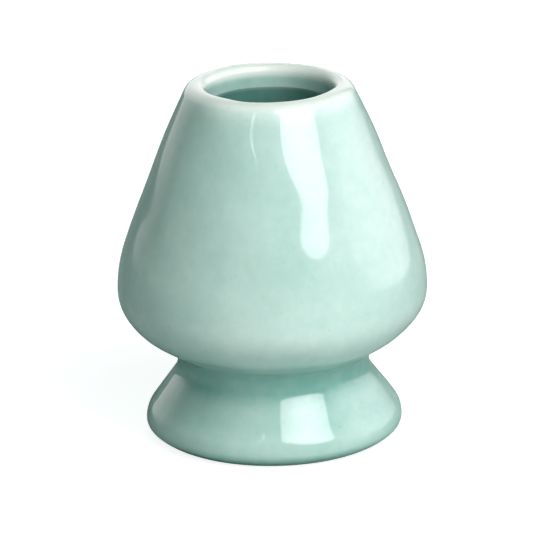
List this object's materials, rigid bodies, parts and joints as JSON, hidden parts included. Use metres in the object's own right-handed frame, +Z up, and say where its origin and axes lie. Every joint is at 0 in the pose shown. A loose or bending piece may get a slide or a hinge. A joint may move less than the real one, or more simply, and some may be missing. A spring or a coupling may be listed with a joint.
{
  "type": "tea whisk holder",
  "caption": "Glazed ceramic tea whisk holder: hollow pear-shaped chamber with a round mouth, luted at a narrow waist to a flared foot with a recessed base.",
  "frame": {"origin": "centre of the foot ring's resting face", "axes": "+Z up along the axis of revolution, out of the mouth; X and Y are equivalent"},
  "size_m": [0.063, 0.063, 0.0737],
  "materials": {
    "celadon_glaze": "gloss",
    "bare_clay": "matte",
    "joining_slip": "matte"
  },
  "bodies": {
    "root": {"chamber": "bare_clay", "foot": "bare_clay", "luting_slip": "joining_slip", "outer_glaze": "celadon_glaze", "liner_glaze": "celadon_glaze", "foot_glaze": "celadon_glaze"}
  },
  "joints": []
}
